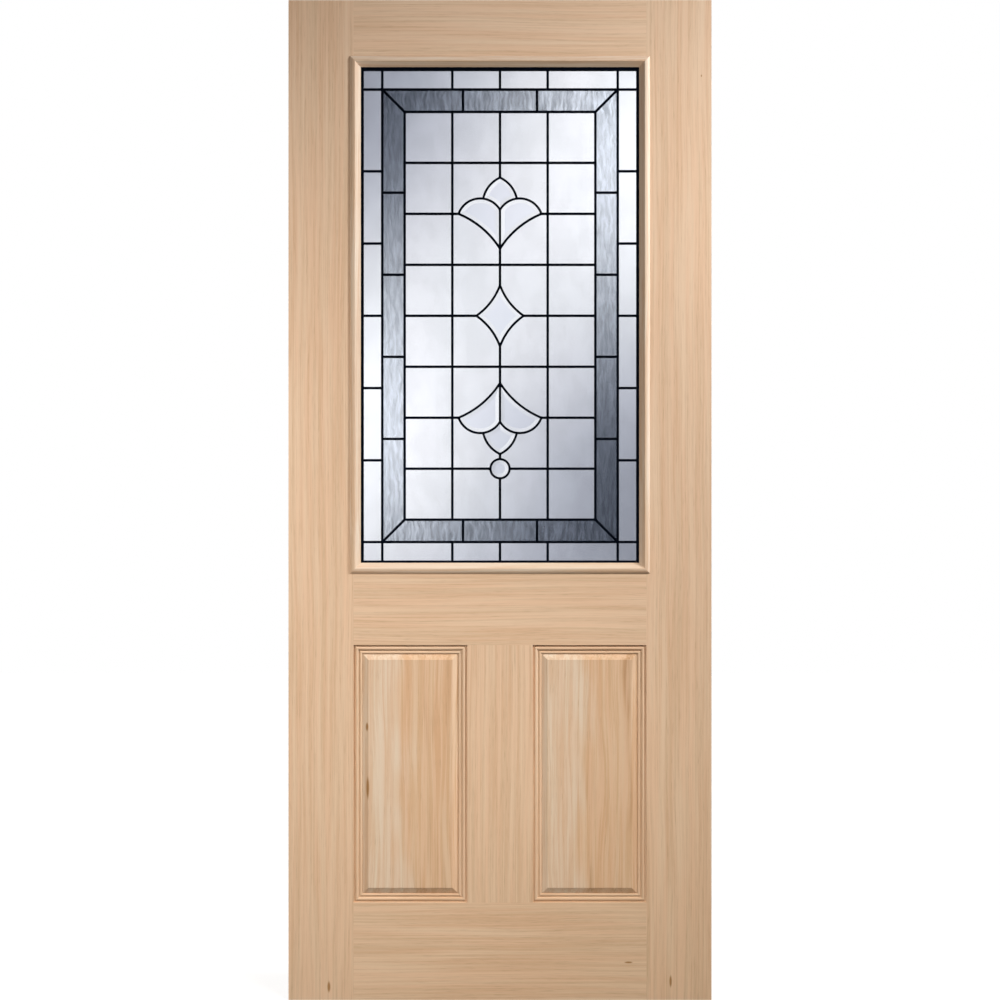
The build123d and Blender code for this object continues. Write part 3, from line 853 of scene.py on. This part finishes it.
class DOOR_OT_set_studio(bpy.types.Operator):
    """Set the floor, the light and the camera"""

    bl_idname = "door.set_studio"
    bl_label = "Set Studio"

    def execute(self, context):
        studio = context.scene.door_studio
        for name in STARTUP_OBJECTS:
            if name in bpy.data.objects:
                bpy.data.objects.remove(bpy.data.objects[name])
        floor = flat_sheet("studio_floor", FLOOR_SIZE, FLOOR_SPOT, floor_finish())
        glow_spot = Vector((leaf_centre.x, face_y + studio.glow_gap, light_centre.z))
        glow = flat_sheet("studio_glow", GLOW_SIZE, glow_spot, glow_finish(studio), upright=True)
        glow.visible_camera = False
        glow.visible_diffuse = False
        glow.visible_glossy = False
        glow.visible_shadow = False
        key = (studio.key_power, studio.key_colour, studio.key_beam, studio.spot_radius)
        spot_lamp("key_lamp", *key, KEY_SPOT, light_centre + KEY_RAISE)
        second = (studio.second_power, studio.second_colour, studio.second_beam, studio.spot_radius)
        spot_lamp("second_lamp", *second, SECOND_SPOT, SECOND_AIM).visible_glossy = False
        soft_lamp("right_lamp", studio.right_power, studio.right_colour, studio.fill_size, RIGHT_SPOT)
        soft_lamp("left_lamp", studio.left_power, studio.left_colour, studio.fill_size, LEFT_SPOT)
        back = soft_lamp("back_lamp", studio.back_power, studio.back_colour, studio.back_size, BACK_SPOT)
        leave_out(back, floor)
        light_world(studio)
        camera = bpy.data.cameras.new("door_camera")
        camera.lens = studio.camera_distance * camera.sensor_width / leaf_height
        viewer = bpy.data.objects.new("door_camera", camera)
        viewer.location = (leaf_centre.x, face_y - studio.camera_distance, leaf_centre.z)
        viewer.rotation_euler = (math.pi / 2, 0.0, 0.0)
        context.scene.collection.objects.link(viewer)
        context.scene.camera = viewer
        context.scene.view_settings.view_transform = "Standard"
        return {"FINISHED"}


class DOOR_PT_sidebar(bpy.types.Panel):
    """Steps and settings of the door"""

    bl_label = "Glazed Door"
    bl_idname = "DOOR_PT_sidebar"
    bl_space_type = "VIEW_3D"
    bl_region_type = "UI"
    bl_category = "Door"

    def draw(self, context):
        layout = self.layout
        for operator in OPERATORS:
            layout.operator(operator.bl_idname)
        for name in SETTINGS:
            group = getattr(context.scene, name)
            box = layout.box()
            for prop in group.__annotations__:
                box.prop(group, prop)


SETTINGS = {
    "door_oak": DoorOakSettings,
    "door_joinery": DoorJoinerySettings,
    "door_glass": DoorGlassSettings,
    "door_lead": DoorLeadSettings,
    "door_studio": DoorStudioSettings,
}
OPERATORS = (
    DOOR_OT_finish_frame,
    DOOR_OT_field_panels,
    DOOR_OT_run_mouldings,
    DOOR_OT_finish_beads,
    DOOR_OT_crown_cames,
    DOOR_OT_grind_bevels,
    DOOR_OT_finish_glass,
    DOOR_OT_set_studio,
)


def register():
    """Registers the settings, the operators and the panel."""
    for name, group in SETTINGS.items():
        bpy.utils.register_class(group)
        setattr(bpy.types.Scene, name, PointerProperty(type=group))
    for operator in OPERATORS:
        bpy.utils.register_class(operator)
    bpy.utils.register_class(DOOR_PT_sidebar)


def unregister():
    """Takes away what register added."""
    bpy.utils.unregister_class(DOOR_PT_sidebar)
    for operator in reversed(OPERATORS):
        bpy.utils.unregister_class(operator)
    for name, group in SETTINGS.items():
        delattr(bpy.types.Scene, name)
        bpy.utils.unregister_class(group)


def main():
    register()
    bpy.ops.door.finish_frame()
    bpy.ops.door.field_panels()
    bpy.ops.door.run_mouldings()
    bpy.ops.door.finish_beads()
    bpy.ops.door.crown_cames()
    bpy.ops.door.grind_bevels()
    bpy.ops.door.finish_glass()
    bpy.ops.door.set_studio()


if __name__ == "__main__":
    main()
